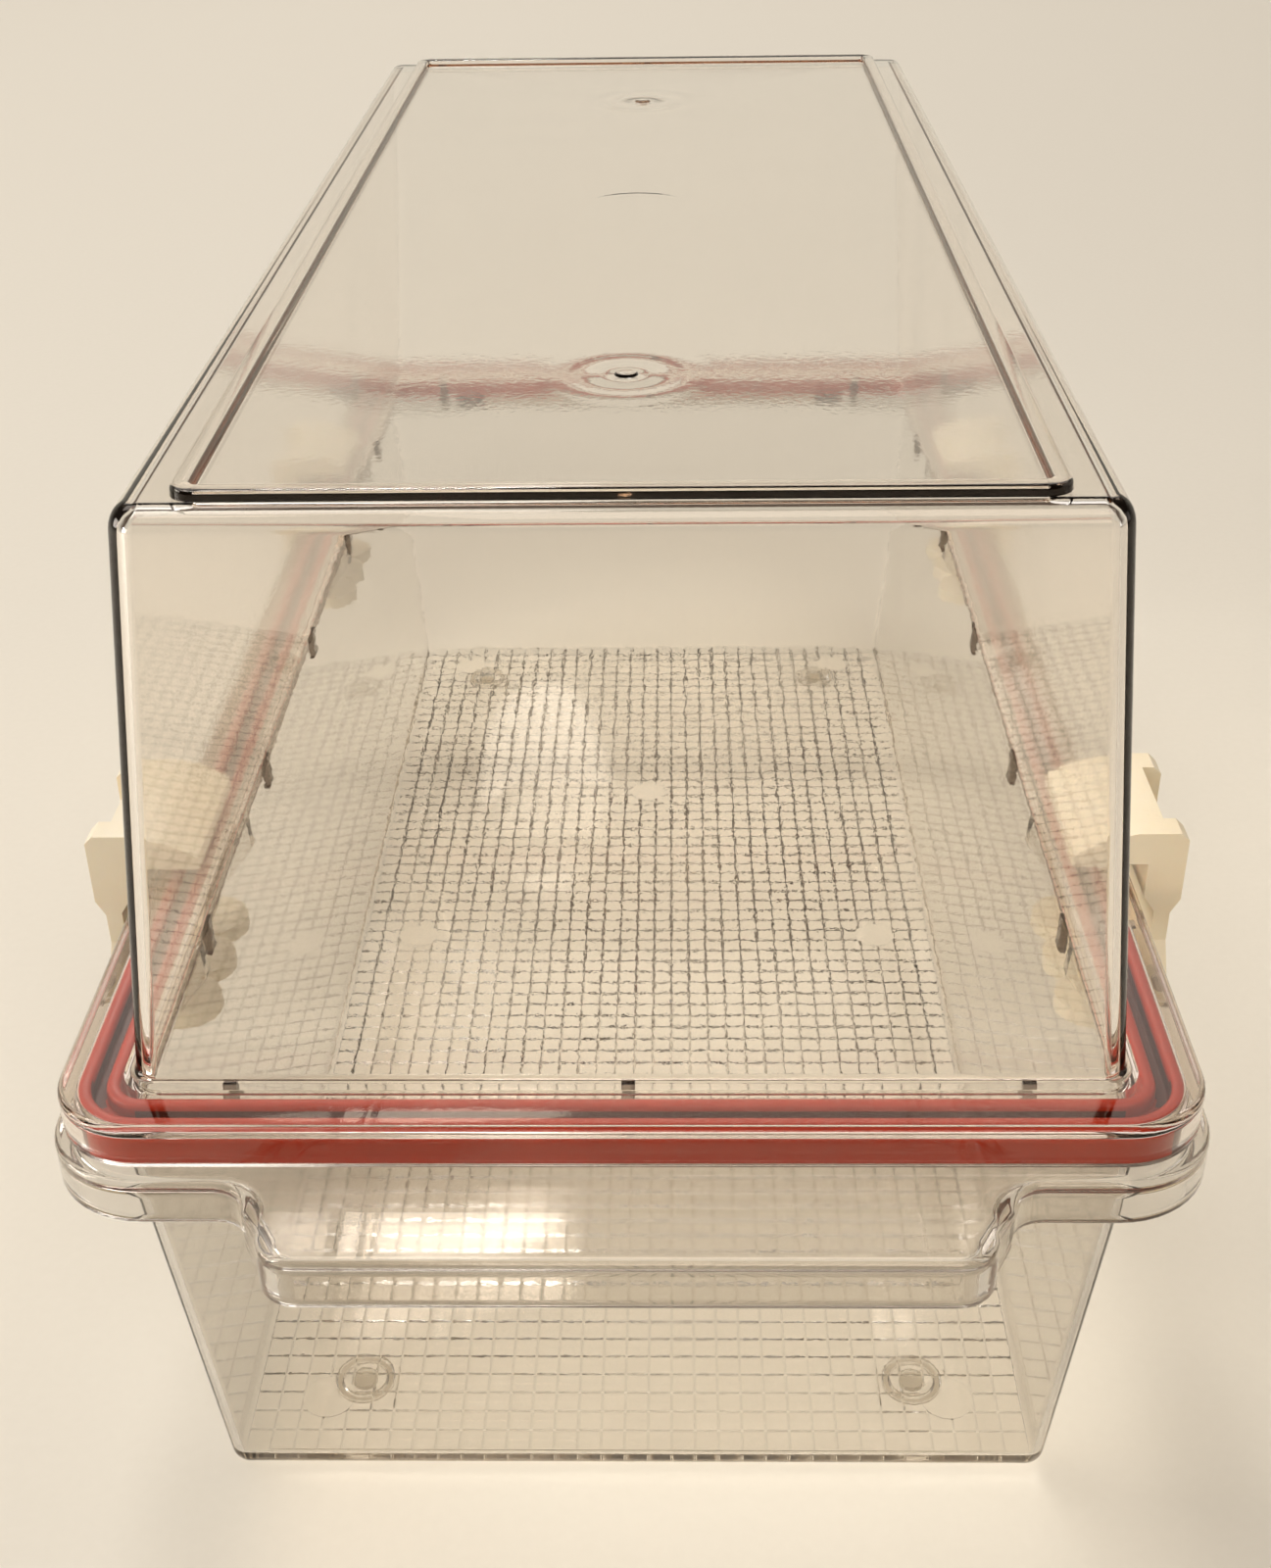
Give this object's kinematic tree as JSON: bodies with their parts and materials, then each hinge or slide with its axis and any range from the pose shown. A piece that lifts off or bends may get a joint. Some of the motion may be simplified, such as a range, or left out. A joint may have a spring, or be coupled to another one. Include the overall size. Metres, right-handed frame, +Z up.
{
  "type": "cryogenic storage box",
  "caption": "Clear long storage box with a tall clear lid, a red seal ring, hinged side latches that hook over the lid rim, and a grip at each end.",
  "frame": {"origin": "on the ground, under the middle of the closed box", "axes": "+Y along the box from the front end to the rear end, +X to the right across the width, +Z up"},
  "size_m": [0.1854, 0.364, 0.1735],
  "materials": {
    "clear_tub": "clear moulded polycarbonate, gloss, with a waffle-pattern floor",
    "clear_lid": "clear moulded polycarbonate, gloss",
    "red_seal": "brick-red silicone, satin",
    "latch_plastic": "cream moulded plastic, slightly translucent, satin"
  },
  "bodies": {
    "base": {"base_tub": "clear_tub"},
    "lid": {"lid_cover": "clear_lid", "gasket": "red_seal"},
    "latch_front_left": {"latch_front_left": "latch_plastic"},
    "latch_front_right": {"latch_front_right": "latch_plastic"},
    "latch_rear_left": {"latch_rear_left": "latch_plastic"},
    "latch_rear_right": {"latch_rear_right": "latch_plastic"}
  },
  "joints": [
    {"name": "lid_lift", "type": "slide", "parent": "base", "child": "lid", "axis": [0, 0, 1], "range_m": [0, 0.02]},
    {"name": "latch_front_left_hinge", "type": "hinge", "parent": "base", "child": "latch_front_left", "pos_m": [-0.087, -0.0845, 0.058], "axis": [0, -1, 0], "range_deg": [0, 150.1]},
    {"name": "latch_front_right_hinge", "type": "hinge", "parent": "base", "child": "latch_front_right", "pos_m": [0.087, -0.0845, 0.058], "axis": [0, 1, 0], "range_deg": [0, 150.1]},
    {"name": "latch_rear_left_hinge", "type": "hinge", "parent": "base", "child": "latch_rear_left", "pos_m": [-0.087, 0.0845, 0.058], "axis": [0, -1, 0], "range_deg": [0, 150.1]},
    {"name": "latch_rear_right_hinge", "type": "hinge", "parent": "base", "child": "latch_rear_right", "pos_m": [0.087, 0.0845, 0.058], "axis": [0, 1, 0], "range_deg": [0, 150.1]}
  ],
  "couplings": [
    {"joint": "latch_front_left_hinge", "follows": "lid_lift", "rad_per_m": 130.9},
    {"joint": "latch_front_right_hinge", "follows": "lid_lift", "rad_per_m": 130.9},
    {"joint": "latch_rear_left_hinge", "follows": "lid_lift", "rad_per_m": 130.9},
    {"joint": "latch_rear_right_hinge", "follows": "lid_lift", "rad_per_m": 130.9}
  ]
}
